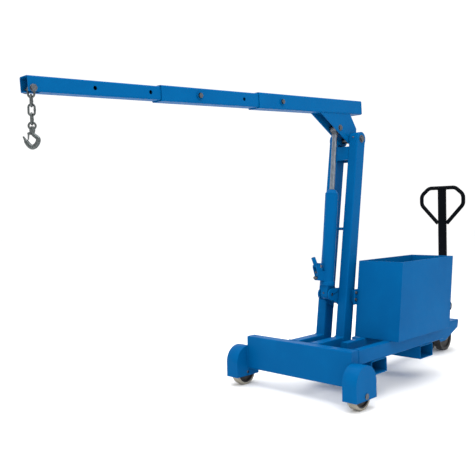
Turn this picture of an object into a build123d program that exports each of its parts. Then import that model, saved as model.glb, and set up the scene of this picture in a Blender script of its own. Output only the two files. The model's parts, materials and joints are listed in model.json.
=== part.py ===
"""Counterweighted engine hoist crane: wheeled frame, leaning mast, telescopic boom, hand-pumped ram.

Millimetres.  -Y is the front, where the boom points; +X is the side that carries the ballast box;
+Z is up and the floor is Z = 0.  Everything is laid out with Y = 0 just ahead of the front beam, and the
finished parts are moved together so that the origin is the bottom centre of the whole crane.
"""
import os
from math import atan2, cos, degrees, hypot, radians, sin, tan

from build123d import *

# ---- driving dimensions -------------------------------------------------------------------------
BEAM_HALF = 366.0           # half length of the front beam
BEAM_FRONT = 30.0           # Y of the beam's front face
BEAM_DEPTH = 65.0
BEAM_LOW = 98.0
DECK = 288.0                # top of the beam, the rails and the ballast box's seat
RAIL_HEIGHT = 80.0
RAIL_LOW = DECK - RAIL_HEIGHT
POCKET_HEIGHT = 78.0
POCKET_WIDTH = 150.0
POCKET_STARTS = (212.0, 725.0)   # Y of the front edge of each fork pocket
SPINE_HALF = 50.0
PLATE = 10.0                # thickness of foot and head plates
WALL, RAIL_CORNER = 5.0, 6.0    # wall and corner radius of rails and pockets

OUTER_RAIL = (326.0, BEAM_HALF)
BOX_RAIL = (170.0, 210.0)
RAIL_END = 1025.0

UPRIGHT = (40.0, 100.0)     # inner and outer X of each upright
UPRIGHT_DEPTH = 81.0
MAST_LEAN = 8.6             # degrees, top towards the rear
PIVOT_Y, PIVOT_Z = 552.0, 1430.0
PIVOT_R = 12.5

BOOM_DROOP = 3.3            # degrees, tip low
BOOM_RISE = 192.5           # boom axis above the pivot, square to the boom
BOOM_SIZES = (80.0, 70.0, 60.0)
BOOM_WALL = 4.0
BOOM_CORNER = 7.0
BOOM_SPANS = ((809.0, -103.0), (1438.0, 505.0), (2067.0, 1140.0))   # front and rear reach of each section
LOCK_REACH = (633.0, 1213.0)     # reach of the two locking screws
HOLE_PITCH = 281.0
TIP_PIN_REACH = 2047.0
TIP_PIN_DROP = 17.0
RUN = 0.05                  # radial clearance of a running fit
GAP = 0.3                   # clearance between bodies that pass each other

RAM_FOOT_Y, RAM_FOOT_Z = 320.0, 530.0
RAM_HEAD_Y, RAM_HEAD_Z = 430.0, 1492.0
RAM_R = 38.0
ROD_R = 14.0

FRONT_TRACK = 808.0
FRONT_AXLE_Y = 32.0
FRONT_WHEEL_R, FRONT_WHEEL_WIDTH = 75.0, 50.0
REAR_AXLE_Y = 1620.0
REAR_WHEEL_R, REAR_WHEEL_WIDTH = 90.0, 48.0
TILLER_Y, TILLER_PIVOT_Z = 1735.0, 302.0
TILLER_TOP = 1176.0

BOX_X = (138.0, 420.0)
BOX_FRONT, BOX_LENGTH, BOX_HEIGHT = 395.0, 590.0, 432.0
BOX_LEAN = 7.5
BOX_WALL = 5.0
SLAB = 34.0
SLABS = 5
STAY = (470.0, 558.0)       # low and high edges of the plate that ties the box to the mast

LINK_LENGTH, LINK_WIDTH, LINK_WIRE = 50.0, 31.0, 4.0
CHAIN_X = 12.0              # the chain has slid along its pin towards the ballast side
CHAIN_YAW = -42.0           # degrees that the hanging chain and hook are turned about the vertical
PIN_R, PIN_WAIST_R = 6.0, 4.0

# Frame, front wheels and mast.
BEAM_WALL, BEAM_CORNER = 6.0, 7.0
END_CAP = 4.0               # thickness of the plates let into open tube ends
HOUSING_WALL = 6.0
HOUSING_X = (BEAM_HALF, 452.0)
HOUSING_R = 91.0
HOUSING_CENTRE_Z = 140.0
HOUSING_LOW = 54.0
FOOT_PLATE = (-120.0, 120.0, 262.0, 440.0)      # X and Y of the plate that the uprights stand on
AXLE_R = 10.0
FRONT_TREAD, REAR_TREAD = 12.0, 16.0            # depth of the tyres
WHEEL_BUSH = 9.0            # wall of the bushes in the wheels
WHEEL_RIM, WHEEL_HUB, WHEEL_RECESS = 8.0, 16.0, 8.0     # rim and hub left round the recess, and its depth
PIVOT_BUSH_R = 18.0
RAM_CHEEK = (30.0, UPRIGHT[0])
RAM_PIN_R = 10.0
SPINE_END = 1470.0
HEAD_PLATE = (-131.0, 131.0, 1400.0, 1700.0)
STEM_R = 20.0
HEAD_TUBE_R, HEAD_BORE_R, BEARING = 41.0, 30.0, 18.0    # radii of the steering head, length of its bearings

# Boom details.
LOCK_R = 8.0
SLOT_HALF = 13.5
BRACKET = (28.0, 36.0)

# Ram and pump, drawn upright from the foot pin.
RAM_LENGTH = hypot(RAM_HEAD_Y - RAM_FOOT_Y, RAM_HEAD_Z - RAM_FOOT_Z)
RAM_LEAN = degrees(atan2(RAM_HEAD_Y - RAM_FOOT_Y, RAM_HEAD_Z - RAM_FOOT_Z))
BARREL_LOW, BARREL_HIGH = 72.0, 578.0
BARREL_WALL = 5.0
PISTON = (400.0, 436.0)     # its two faces at rest
EYE_R = 25.0
PUMP_LOW, PUMP_HIGH = 76.0, 132.0
PUMP_Y, PUMP_FRONT = -52.0, -76.0
LEVER_Y, LEVER_Z = -84.0, 158.0
PLUNGER_R = 7.0
SOCKET_R, SOCKET_TILT = 8.5, 26.0   # bore for the pump handle, and its tilt to the front
SOCKET_SPAN = (16.0, 52.0)
PUMP_TURN = -18.0           # degrees that the pump is turned round the barrel, towards the free side

# Chain and hook details.
LINK_STEP = LINK_LENGTH - 4 * LINK_WIRE - GAP
LINK_RISE = 1.6             # the first link rides up the pin because it crosses it at an angle
EYE_RING, EYE_WIRE = 13.0, 4.0
SHANK_R = 5.0
HOOK_R = 23.0
LATCH_PIN_R = 1.6
HOOK_SECTIONS = ((0.0, 7.0), (0.33, 9.0), (0.62, 9.6), (0.85, 7.5), (1.0, 3.0))   # share of length, radius
HOOK_Z = 1293.0

# Steering and tiller.
HUB_HALF = 24.0
REAR_WHEEL_X = HUB_HALF + 2.0 + REAR_WHEEL_WIDTH / 2
BRACKET_LOW, BRACKET_HIGH = DECK + 5.0, DECK + 42.0
CLAMP_R = 34.0              # clamp on top of the steering stem
TILLER_CHEEK = (40.0, 52.0)
TILLER_BOLT_R = 8.0
STEM_HALF_X, STEM_HALF_Y = 30.0, 16.0
STEM_WALL = 3.0
LOOP_R, LOOP_HALF = 14.0, 176.0
LOOP_TOP = TILLER_TOP - LOOP_R
LOOP_LOW = 905.0

parts = {}


# ---- helpers ------------------------------------------------------------------------------------
def block(x0, x1, y0, y1, z0, z1):
    return Pos(x0, y0, z0) * Box(x1 - x0, y1 - y0, z1 - z0, align=(Align.MIN, Align.MIN, Align.MIN))


def side_plate(points, x0, x1):
    """Flat plate from an outline of (Y, Z) points, between two X planes."""
    outline = make_face(Polyline(*[(0, y, z) for y, z in points], close=True))
    return Pos(x0, 0, 0) * extrude(outline, amount=x1 - x0, dir=(1, 0, 0))


def rod_x(radius, x0, x1, y, z):
    return Pos((x0 + x1) / 2, y, z) * Rot(0, 90, 0) * Cylinder(radius, x1 - x0)


def rod_z(radius, z0, z1, x=0.0, y=0.0):
    return Pos(x, y, z0) * Cylinder(radius, z1 - z0, align=(Align.CENTER, Align.CENTER, Align.MIN))


def hex_x(across, x0, x1, y, z):
    """Hexagon bar along X: a bolt head or a nut."""
    hexagon = Plane.YZ.offset(x0) * RegularPolygon(across / 2, 6, major_radius=False)
    return Pos(0, y, z) * extrude(hexagon, amount=x1 - x0)


def tube_y(x0, x1, y0, y1, z0, z1, wall, corner):
    """Rectangular hollow section along Y with rounded corners."""
    outer = block(x0, x1, y0, y1, z0, z1)
    outer = fillet(outer.edges().filter_by(Axis.Y), corner)
    inner = block(x0 + wall, x1 - wall, y0 - 1, y1 + 1, z0 + wall, z1 - wall)
    inner = fillet(inner.edges().filter_by(Axis.Y), corner - wall * 0.6)
    return outer - inner


def tube_x(x0, x1, y0, y1, z0, z1, wall, corner):
    """Rectangular hollow section along X with rounded corners."""
    outer = fillet(block(x0, x1, y0, y1, z0, z1).edges().filter_by(Axis.X), corner)
    inner = block(x0 - 1, x1 + 1, y0 + wall, y1 - wall, z0 + wall, z1 - wall)
    return outer - fillet(inner.edges().filter_by(Axis.X), corner - wall * 0.6)


def both_sides(piece):
    return piece, mirror(piece, about=Plane.YZ)


def add_pair(name, piece):
    left, right = both_sides(piece)
    parts[name + "_left"] = left
    parts[name + "_right"] = right


def group(*solids):
    return Compound(children=[s for item in solids for s in item.solids()])


# ---- frame --------------------------------------------------------------------------------------
def front_beam():
    back = BEAM_FRONT + BEAM_DEPTH
    return tube_x(-BEAM_HALF, BEAM_HALF, BEAM_FRONT, back, BEAM_LOW, DECK, BEAM_WALL, BEAM_CORNER)


def beam_end_cap():
    """Plate let into the mouth of the front beam."""
    w = BEAM_WALL
    back = BEAM_FRONT + BEAM_DEPTH - w
    cap = block(BEAM_HALF - END_CAP, BEAM_HALF, BEAM_FRONT + w, back, BEAM_LOW + w, DECK - w)
    return fillet(cap.edges().filter_by(Axis.X), BEAM_CORNER - w * 0.6)


def housing_solid(radius, low, x0, x1):
    y, z = FRONT_AXLE_Y, HOUSING_CENTRE_Z
    crown = rod_x(radius, x0, x1, y, z) - block(x0, x1, y - 2 * radius, y + 2 * radius, 0, z)
    return crown + block(x0, x1, y - radius, y + radius, low, z)


def wheel_housing():
    """Hood of two cheeks and a wrapped strip, open below, with the axle hole."""
    x0, x1 = HOUSING_X
    shell = housing_solid(HOUSING_R, HOUSING_LOW, x0, x1)
    hollow = housing_solid(HOUSING_R - HOUSING_WALL, HOUSING_LOW - 1, x0 + HOUSING_WALL, x1 - HOUSING_WALL)
    return shell - hollow - rod_x(AXLE_R, x0 - 1, x1 + 1, FRONT_AXLE_Y, FRONT_WHEEL_R)


def front_axle():
    """Shoulder bolt through both cheeks, with a thin head outside."""
    x0, x1 = HOUSING_X
    bolt = rod_x(AXLE_R, x0 + HOUSING_WALL, x1, FRONT_AXLE_Y, FRONT_WHEEL_R)
    return bolt + rod_x(15.0, x1, x1 + 4.0, FRONT_AXLE_Y, FRONT_WHEEL_R)


def wheel_core(radius, width, x, y, z, bore):
    """Cast centre with a recessed web between the hub and the rim."""
    core = rod_x(radius, x - width / 2, x + width / 2, y, z)
    for side in (-1, 1):
        face = x + side * width / 2
        recess = rod_x(radius - WHEEL_RIM, face - WHEEL_RECESS, face + WHEEL_RECESS, y, z)
        recess -= rod_x(bore + WHEEL_HUB, face - WHEEL_RECESS - 1, face + WHEEL_RECESS + 1, y, z)
        core -= recess
    return core - rod_x(bore + WHEEL_BUSH, x - width, x + width, y, z)


def wheel_bearings(width, x, y, z, bore):
    rings = []
    for side in (-1, 1):
        inner = x + side * (width / 2 - 14)
        outer = x + side * width / 2
        low, high = min(inner, outer), max(inner, outer)
        rings.append(rod_x(bore + WHEEL_BUSH, low, high, y, z) - rod_x(bore + RUN, low - 1, high + 1, y, z))
    return group(*rings)


def wheel_tread(radius, depth, width, x, y, z):
    ring = rod_x(radius, x - width / 2, x + width / 2, y, z)
    ring = fillet(ring.edges().filter_by(GeomType.CIRCLE), 4.0)
    return ring - rod_x(radius - depth, x - width, x + width, y, z)


def central_rail():
    """Short strut between the beam and the foot of one upright, cut to the upright's lean."""
    low = RAIL_LOW + PLATE
    back = BEAM_FRONT + BEAM_DEPTH
    strut = tube_y(UPRIGHT[0], UPRIGHT[1], back, PIVOT_Y, low, DECK, WALL, RAIL_CORNER)
    return strut - leaning(block(0, 200, -UPRIGHT_DEPTH / 2, 600, -2000, 200))


def leaning(piece):
    """Puts a piece drawn about the pivot, with the mast upright, into the leaning mast."""
    return Pos(0, PIVOT_Y, PIVOT_Z) * Rot(-MAST_LEAN, 0, 0) * piece


def upright():
    """Hollow upright with a round top about the pivot, standing on the foot plate."""
    half = UPRIGHT_DEPTH / 2
    x0, x1 = UPRIGHT
    outer = block(x0, x1, -half, half, -1400, 0)
    outer = fillet(outer.edges().filter_by(Axis.Z), 6.0) + rod_x(half, x0, x1, 0, 0)
    inner = block(x0 + WALL, x1 - WALL, WALL - half, half - WALL, -1401, 0)
    inner += rod_x(half - WALL, x0 + WALL, x1 - WALL, 0, 0)
    post = leaning(outer - inner)
    post -= block(0, 200, -200, 900, -100, RAIL_LOW + PLATE)
    return post - rod_x(PIVOT_BUSH_R, x0 - 1, x1 + 1, PIVOT_Y, PIVOT_Z)


def pivot_bushes():
    x0, x1 = UPRIGHT
    bush = rod_x(PIVOT_BUSH_R, x0, x1, PIVOT_Y, PIVOT_Z)
    bush -= rod_x(PIVOT_R + RUN, x0 - 1, x1 + 1, PIVOT_Y, PIVOT_Z)
    return group(*both_sides(bush))


def mast_cross_plates():
    """Front and rear plates between the uprights, below the sweep of the boom bracket."""
    edge = UPRIGHT_DEPTH / 2
    front = leaning(block(-UPRIGHT[0], UPRIGHT[0], 2 - edge, 10 - edge, -128, -48))
    rear = leaning(block(-UPRIGHT[0], UPRIGHT[0], edge - 10, edge - 2, -128, -48))
    return front, rear


def mast_cross_bar():
    return leaning(rod_x(8.0, -UPRIGHT[0], UPRIGHT[0], -18, -535))


def mast_foot_plate():
    return block(*FOOT_PLATE, RAIL_LOW, RAIL_LOW + PLATE)


def ram_cheek():
    """Cheek between the uprights that carries the ram's foot pin in front of the mast."""
    tip = rod_x(34.0, *RAM_CHEEK, RAM_FOOT_Y, RAM_FOOT_Z)
    root_y = PIVOT_Y - (PIVOT_Z - RAM_FOOT_Z) * tan(radians(MAST_LEAN))
    web = side_plate([
        (RAM_FOOT_Y - 8, RAM_FOOT_Z + 33), (root_y + 30, RAM_FOOT_Z + 33),
        (root_y + 12, RAM_FOOT_Z - 92), (RAM_FOOT_Y + 10, RAM_FOOT_Z - 32.5)], *RAM_CHEEK)
    return tip + web - rod_x(RAM_PIN_R + RUN, 0, 60, RAM_FOOT_Y, RAM_FOOT_Z)


def ram_back_plate():
    """Plate that ties the two cheeks together behind the ram's foot."""
    root = -(PIVOT_Z - RAM_FOOT_Z) / cos(radians(MAST_LEAN))
    return leaning(block(-RAM_CHEEK[0], RAM_CHEEK[0], -4, 4, root - 62, root + 28))


def outer_rail():
    return tube_y(*OUTER_RAIL, BEAM_FRONT + BEAM_DEPTH, RAIL_END, RAIL_LOW, DECK, WALL, RAIL_CORNER)


def box_rail():
    return tube_y(*BOX_RAIL, POCKET_STARTS[0], RAIL_END, RAIL_LOW, DECK, WALL, RAIL_CORNER)


def box_rail_cap():
    """Plate let into the front mouth of the box rail."""
    x0, x1 = BOX_RAIL[0] + WALL, BOX_RAIL[1] - WALL
    cap = block(x0, x1, POCKET_STARTS[0], POCKET_STARTS[0] + END_CAP, RAIL_LOW + WALL, DECK - WALL)
    return fillet(cap.edges().filter_by(Axis.Y), RAIL_CORNER - WALL * 0.6)


def rail_tie():
    """Angle across the rear ends of the outer rail, the box rail and the spine."""
    return block(-SPINE_HALF, BEAM_HALF, RAIL_END, RAIL_END + 8, RAIL_LOW, DECK - 6)


def fork_pocket(start):
    low = RAIL_LOW - POCKET_HEIGHT
    return tube_x(-SPINE_HALF - 60, BEAM_HALF, start, start + POCKET_WIDTH, low, RAIL_LOW, WALL, RAIL_CORNER)


def spine(start, end):
    return tube_y(-SPINE_HALF, SPINE_HALF, start, end, RAIL_LOW - POCKET_HEIGHT, RAIL_LOW, WALL, RAIL_CORNER)


def head_plate():
    plate = block(*HEAD_PLATE, RAIL_LOW, RAIL_LOW + PLATE)
    return plate - rod_z(STEM_R + 8, 0, 400, 0, REAR_AXLE_Y)


def wheel_guard():
    """Cheek beside the steered wheels, with its lower rear corner cut away."""
    x1 = HEAD_PLATE[1]
    top = RAIL_LOW
    return side_plate([
        (HEAD_PLATE[2], top), (HEAD_PLATE[3], top), (HEAD_PLATE[3] - 8, 163), (1500, 94), (1440, 94),
        (HEAD_PLATE[2], 140)], x1 - 6, x1)


def head_tube():
    low, high = RAIL_LOW + PLATE, DECK + 4
    tube = rod_z(HEAD_TUBE_R, low, high, 0, REAR_AXLE_Y) - rod_z(HEAD_BORE_R, low - 1, high + 1, 0, REAR_AXLE_Y)
    back = REAR_AXLE_Y - HEAD_TUBE_R + 0.4
    gusset = side_plate([(HEAD_PLATE[2] + 30, low), (back, low), (back, high - 8)], -5, 5)
    return tube + gusset


def head_bearings():
    low, high = RAIL_LOW + PLATE, DECK + 4
    rings = []
    for start in (low, high - BEARING):
        ring = rod_z(HEAD_BORE_R, start, start + BEARING, 0, REAR_AXLE_Y)
        rings.append(ring - rod_z(STEM_R + RUN, start - 1, start + BEARING + 1, 0, REAR_AXLE_Y))
    return group(*rings)


# ---- ballast ------------------------------------------------------------------------------------
def lean_shift(height):
    return height * tan(radians(BOX_LEAN))


def box_prism(x0, x1, y0, y1, z0, z1):
    """Box whose front and rear walls lean with the ballast box; Y is given at the box's seat."""
    low, high = lean_shift(z0 - DECK), lean_shift(z1 - DECK)
    return side_plate([(y0 + low, z0), (y1 + low, z0), (y1 + high, z1), (y0 + high, z1)], x0, x1)


def ballast_box():
    x0, x1 = BOX_X
    top = DECK + BOX_HEIGHT
    end = BOX_FRONT + BOX_LENGTH
    shell = box_prism(x0, x1, BOX_FRONT, end, DECK, top)
    w = BOX_WALL
    return shell - box_prism(x0 + w, x1 - w, BOX_FRONT + w, end - w, DECK + w, top + 10)


def ballast_slab(index):
    w = BOX_WALL + 2.0
    low = DECK + BOX_WALL + index * SLAB
    end = BOX_FRONT + BOX_LENGTH
    return box_prism(BOX_X[0] + w, BOX_X[1] - w, BOX_FRONT + w, end - w, low, low + SLAB)


def box_stay():
    """Stay that bolts the ballast box back to the near upright."""
    low, high = STAY
    front = BOX_FRONT + lean_shift(low - DECK)
    stay = side_plate([(front - 26, low), (front + 60, low), (front + 72, high), (front - 14, high)],
                      BOX_X[0] - 6, BOX_X[0])
    bar = block(UPRIGHT[1], BOX_X[0] - 6, front + 4, front + 12, low + 8, high - 8)
    return stay + bar


# ---- boom ---------------------------------------------------------------------------------------
def boomed(piece):
    """Puts a piece drawn with the boom level and the pivot at 0, 0 into the resting boom."""
    return Pos(0, PIVOT_Y, PIVOT_Z) * Rot(BOOM_DROOP, 0, 0) * piece


def boom_tube(index):
    half = BOOM_SIZES[index] / 2
    front, rear = BOOM_SPANS[index]
    return tube_y(-half, half, -front, -rear, BOOM_RISE - half, BOOM_RISE + half, BOOM_WALL, BOOM_CORNER)


def lock_holes(section, reaches, radius=9.0):
    for reach in reaches:
        section -= rod_x(radius, -60, 60, -reach, BOOM_RISE)
    return section


def boom_outer():
    section = boom_tube(0)
    hole = rod_x(LOCK_R + RUN, 0, 60, -LOCK_REACH[0], BOOM_RISE)
    return boomed(section - hole)


def boom_middle():
    reaches = (LOCK_REACH[0], LOCK_REACH[0] + HOLE_PITCH)
    section = lock_holes(boom_tube(1), reaches)
    hole = rod_x(LOCK_R + RUN, 0, 60, -LOCK_REACH[1], BOOM_RISE)
    return boomed(section - hole)


def boom_inner():
    first = LOCK_REACH[1]
    section = lock_holes(boom_tube(2), (first, first + HOLE_PITCH, first + 2 * HOLE_PITCH))
    section -= rod_x(PIN_R, -60, 60, -TIP_PIN_REACH, BOOM_RISE - TIP_PIN_DROP)
    x0, x1 = CHAIN_X - SLOT_HALF, CHAIN_X + SLOT_HALF
    slot = block(x0, x1, -BOOM_SPANS[2][0] - 1, -TIP_PIN_REACH + 34, 0, BOOM_RISE - 20)
    return boomed(section - slot)


def boom_end_cap():
    half = BOOM_SIZES[0] / 2
    rear = -BOOM_SPANS[0][1]
    cap = block(-half, half, rear, rear + 5, BOOM_RISE - half, BOOM_RISE + half)
    return boomed(fillet(cap.edges().filter_by(Axis.Y), BOOM_CORNER))


def boom_bracket():
    """Cheek welded under the boom: carries the ram's head pin and turns on the pivot."""
    top = BOOM_RISE - BOOM_SIZES[0] / 2
    hub = 38.0
    edge = radians(33.0)
    front = -294.0
    corner = (-hub * sin(edge), -hub * cos(edge))
    cheek = side_plate([
        (front, top), (-10, top), (48, 66), (hub * cos(0.3), hub * sin(0.3)), (0, -hub * 0.5), corner],
        *BRACKET)
    cheek += rod_x(hub, *BRACKET, 0, 0)
    cheek -= rod_x(PIVOT_R, 0, 60, 0, 0)
    cheek -= rod_x(RAM_PIN_R, 0, 60, *ram_head_local())
    return boomed(cheek)


def ram_head_local():
    """Ram's head pin, as Y and Z in the level boom drawing."""
    y, z = RAM_HEAD_Y - PIVOT_Y, RAM_HEAD_Z - PIVOT_Z
    a = radians(-BOOM_DROOP)
    return y * cos(a) - z * sin(a), y * sin(a) + z * cos(a)


def bracket_sleeve():
    """Spacer tube between the bracket's cheeks, round the pivot pin."""
    gap = BRACKET[0]
    return boomed(rod_x(20.0, -gap, gap, 0, 0) - rod_x(PIVOT_R, -gap - 1, gap + 1, 0, 0))


def pivot_washers():
    x0, x1 = BRACKET[1], UPRIGHT[0] - GAP
    washer = rod_x(24.0, x0, x1, 0, 0) - rod_x(PIVOT_R, x0 - 1, x1 + 1, 0, 0)
    return boomed(group(*both_sides(washer)))


def pivot_pin():
    end = UPRIGHT[1] + 1
    pin = rod_x(PIVOT_R, -end, end, 0, 0)
    for side in (-1, 1):
        a, b = sorted((side * end, side * (end + 9)))
        pin += hex_x(30.0, a, b, 0, 0)
    return boomed(pin)


def ram_head_studs():
    """Two half pins, one in each cheek, with hexagon heads outside."""
    y, z = ram_head_local()
    stud = rod_x(RAM_PIN_R, 22.0, BRACKET[1], y, z) + hex_x(24.0, BRACKET[1], BRACKET[1] + 8, y, z)
    return boomed(group(*both_sides(stud)))


def lock_screw(index):
    """Locking screw: its tip is backed off just clear of the section inside."""
    outer = BOOM_SIZES[index] / 2
    tip = BOOM_SIZES[index + 1] / 2 + GAP
    reach = LOCK_REACH[index]
    screw = rod_x(LOCK_R, tip, outer + 1, -reach, BOOM_RISE)
    return boomed(screw + hex_x(21.0, outer + GAP, outer + 12, -reach, BOOM_RISE))


def tip_pin():
    """Bolt across the boom tip, waisted in the middle where the chain hangs."""
    half = BOOM_SIZES[2] / 2
    y, z = -TIP_PIN_REACH, BOOM_RISE - TIP_PIN_DROP
    pin = rod_x(PIN_WAIST_R, -half, half, y, z)
    for side in (-1, 1):
        a, b = sorted((CHAIN_X + side * (SLOT_HALF - 1), side * half))
        pin += rod_x(PIN_R, a, b, y, z)
        a, b = sorted((side * half, side * (half + 9)))
        pin += hex_x(24.0, a, b, y, z)
    return boomed(pin)


# ---- ram ----------------------------------------------------------------------------------------


def rammed(piece):
    """Puts a piece drawn with the ram upright on its foot pin into the leaning ram."""
    return Pos(0, RAM_FOOT_Y, RAM_FOOT_Z) * Rot(-RAM_LEAN, 0, 0) * piece


def ram_base():
    lug = rod_x(28.0, -24, 24, 0, 0) + block(-24, 24, -28, 28, 0, 50)
    seat = rod_z(RAM_R + 3, 50, BARREL_LOW)
    return rammed(lug + seat - rod_x(RAM_PIN_R + RUN, -30, 30, 0, 0))


def ram_barrel():
    bore = rod_z(RAM_R - BARREL_WALL, BARREL_LOW - 1, BARREL_HIGH + 1)
    return rammed(rod_z(RAM_R, BARREL_LOW, BARREL_HIGH) - bore)


def ram_gland():
    """Conical gland nut that the rod slides through."""
    collar = rod_z(RAM_R, BARREL_HIGH, BARREL_HIGH + 6)
    cone = Pos(0, 0, BARREL_HIGH + 6) * Cone(RAM_R, 23.0, 22.0, align=(Align.CENTER, Align.CENTER, Align.MIN))
    spigot = rod_z(RAM_R - BARREL_WALL, BARREL_HIGH - 24, BARREL_HIGH)
    return rammed(collar + cone + spigot - rod_z(ROD_R + RUN, 0, 800))


def ram_piston():
    return rammed(rod_z(RAM_R - BARREL_WALL - RUN, *PISTON))


def ram_rod():
    return rammed(rod_z(ROD_R, PISTON[1], RAM_LENGTH - EYE_R - 12))


def rod_eye():
    """Forged eye screwed on the rod, floating between the bracket's half pins."""
    z = RAM_LENGTH
    eye = rod_x(EYE_R, -20, 20, 0, z) + rod_z(18.0, z - EYE_R - 12, z - 10)
    return rammed(eye - rod_x(RAM_PIN_R + 1, -30, 30, 0, z))


def ram_foot_pin():
    end = RAM_CHEEK[1] - 0.5
    return rod_x(RAM_PIN_R, -end, end, RAM_FOOT_Y, RAM_FOOT_Z)


def pumped(piece):
    """Puts a piece drawn on the front of the upright ram into the pump's place on the leaning ram."""
    return rammed(Rot(0, 0, PUMP_TURN) * piece)


def pump_block():
    """Pump body saddled on the front of the barrel, with the lever's lugs."""
    body = block(-22, 22, PUMP_FRONT, -20, PUMP_LOW, PUMP_HIGH) - rod_z(RAM_R, 0, 300)
    body = body + rod_z(13.0, PUMP_HIGH, PUMP_HIGH + 16, 0, PUMP_Y)
    body -= rod_z(PLUNGER_R + RUN, PUMP_LOW + 10, 400, 0, PUMP_Y)
    lug = side_plate([
        (PUMP_FRONT, 100), (LEVER_Y + 30, PUMP_HIGH), (LEVER_Y + 10, LEVER_Z + 10), (LEVER_Y - 10, LEVER_Z + 4),
        (LEVER_Y - 10, LEVER_Z - 10)], 14, 20)
    lug -= rod_x(4.0 + RUN, 10, 30, LEVER_Y, LEVER_Z)
    left, right = both_sides(lug)
    return pumped(body + left + right)


def pump_plunger():
    return pumped(rod_z(PLUNGER_R, PUMP_LOW + 26, PUMP_HIGH + 34, 0, PUMP_Y))


def lever_socket():
    """Socket for the pump handle: a tube on a rocker that presses the plunger."""
    hub = rod_x(9.0, -12, 12, LEVER_Y, LEVER_Z) + rod_x(4.0, -22, 22, LEVER_Y, LEVER_Z)
    nose = block(-6, 6, LEVER_Y, PUMP_Y + 8, PUMP_HIGH + 34 + GAP, PUMP_HIGH + 44)
    low, high = SOCKET_SPAN
    tube = rod_z(SOCKET_R + 3.5, low - 10, high) - rod_z(SOCKET_R, low, high + 1)
    tube = Pos(0, LEVER_Y, LEVER_Z) * Rot(SOCKET_TILT, 0, 0) * tube
    return pumped(hub + nose + tube)


def release_valve():
    """Release screw low on the pump block, with a short cross bar to turn it by."""
    z = PUMP_LOW + 14
    knob = Pos(0, PUMP_FRONT - GAP, z) * Rot(90, 0, 0) * rod_z(9.0, 0, 16)
    bar = rod_x(3.0, -17, 17, PUMP_FRONT - 11, z)
    return pumped(knob + bar)


# ---- chain and hook -----------------------------------------------------------------------------
def on_boom(reach, height):
    """Y and Z of a point of the level boom drawing, in the resting boom."""
    a = radians(BOOM_DROOP)
    y, z = -reach, height
    return PIVOT_Y + y * cos(a) - z * sin(a), PIVOT_Z + y * sin(a) + z * cos(a)


TIP_Y, TIP_Z = on_boom(TIP_PIN_REACH, BOOM_RISE - TIP_PIN_DROP)
LINK_TOP = TIP_Z + PIN_WAIST_R + LINK_RISE + 2 * LINK_WIRE      # top of the first link
EYE_Z = LINK_TOP - 4 * LINK_STEP - 2 * LINK_WIRE - EYE_RING + EYE_WIRE
BOSS_LOW = EYE_Z - EYE_RING - 8.0
BOSS_TOP = EYE_Z - EYE_RING + EYE_WIRE + 3.5
LATCH_Y, LATCH_Z = TIP_Y - 13.5, BOSS_LOW - 8.0


def yawed(piece):
    """Turns a piece of the chain, drawn facing the front, about the vertical through the tip."""
    return Pos(CHAIN_X, TIP_Y, 0) * Rot(0, 0, CHAIN_YAW) * Pos(0, -TIP_Y, 0) * piece


def chain_link(index):
    """Oval link of round wire; every second link is turned a quarter turn."""
    half = LINK_WIDTH / 2 - LINK_WIRE
    straight = LINK_LENGTH / 2 - LINK_WIDTH / 2
    path = Polyline((0, half, -straight), (0, half, straight)) + ThreePointArc(
        (0, half, straight), (0, 0, straight + half), (0, -half, straight)) + Polyline(
        (0, -half, straight), (0, -half, -straight)) + ThreePointArc(
        (0, -half, -straight), (0, 0, -straight - half), (0, half, -straight))
    wire = Pos(0, half, 0) * Circle(LINK_WIRE)
    ring = sweep(wire, path=Wire(path.edges()))
    turn = 90 * (index % 2)
    return yawed(Pos(0, TIP_Y, LINK_TOP - LINK_LENGTH / 2 - index * LINK_STEP) * Rot(0, 0, turn) * ring)


def hook_eye():
    """Swivel eye: a ring over a boss that the hook's shank turns in."""
    ring = Pos(0, TIP_Y, EYE_Z) * Rot(0, 90, 0) * Torus(EYE_RING, EYE_WIRE)
    boss = rod_z(11.0, BOSS_LOW, BOSS_TOP, 0, TIP_Y)
    return yawed(ring + boss - rod_z(SHANK_R + RUN, BOSS_LOW - 5, BOSS_TOP + 1, 0, TIP_Y))


def hook():
    """Bent hook with its throat to the front, a collar, and a shank headed inside the eye."""
    top = BOSS_LOW - GAP
    centre_y = TIP_Y - 2
    bend = HOOK_R
    start = (0, TIP_Y, top - 6)
    side = (0, centre_y + bend, HOOK_Z + 6)
    low = (0, centre_y, HOOK_Z - bend)
    lip = (0, centre_y - bend, HOOK_Z + 1)
    point = (0, centre_y - bend - 9, HOOK_Z + 17)
    path = Spline(start, side, low, lip, point, tangents=[(0, 0.6, -1), (0, -0.55, 1)])
    sections = []
    for share, radius in HOOK_SECTIONS:
        plane = Plane(origin=path @ share, z_dir=path % share, x_dir=(1, 0, 0))
        sections.append(plane * Circle(radius))
    body = sweep(sections=sections, path=path, multisection=True)
    collar = rod_z(9.5, top - 8, top, 0, TIP_Y)
    shank = rod_z(SHANK_R, top - 1, BOSS_TOP + GAP, 0, TIP_Y)
    head = rod_z(6.5, BOSS_TOP + GAP, BOSS_TOP + 3.3, 0, TIP_Y)
    ear = side_plate([
        (TIP_Y - 4, top), (LATCH_Y - 2.5, LATCH_Z + 3), (LATCH_Y - 2.5, LATCH_Z - 3), (TIP_Y - 4, top - 12)],
        5.3, 8.3)
    left, right = both_sides(ear)
    pin = rod_x(LATCH_PIN_R, -8.3, 8.3, LATCH_Y, LATCH_Z)
    return yawed(body + collar + shank + head + left + right + pin)


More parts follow.
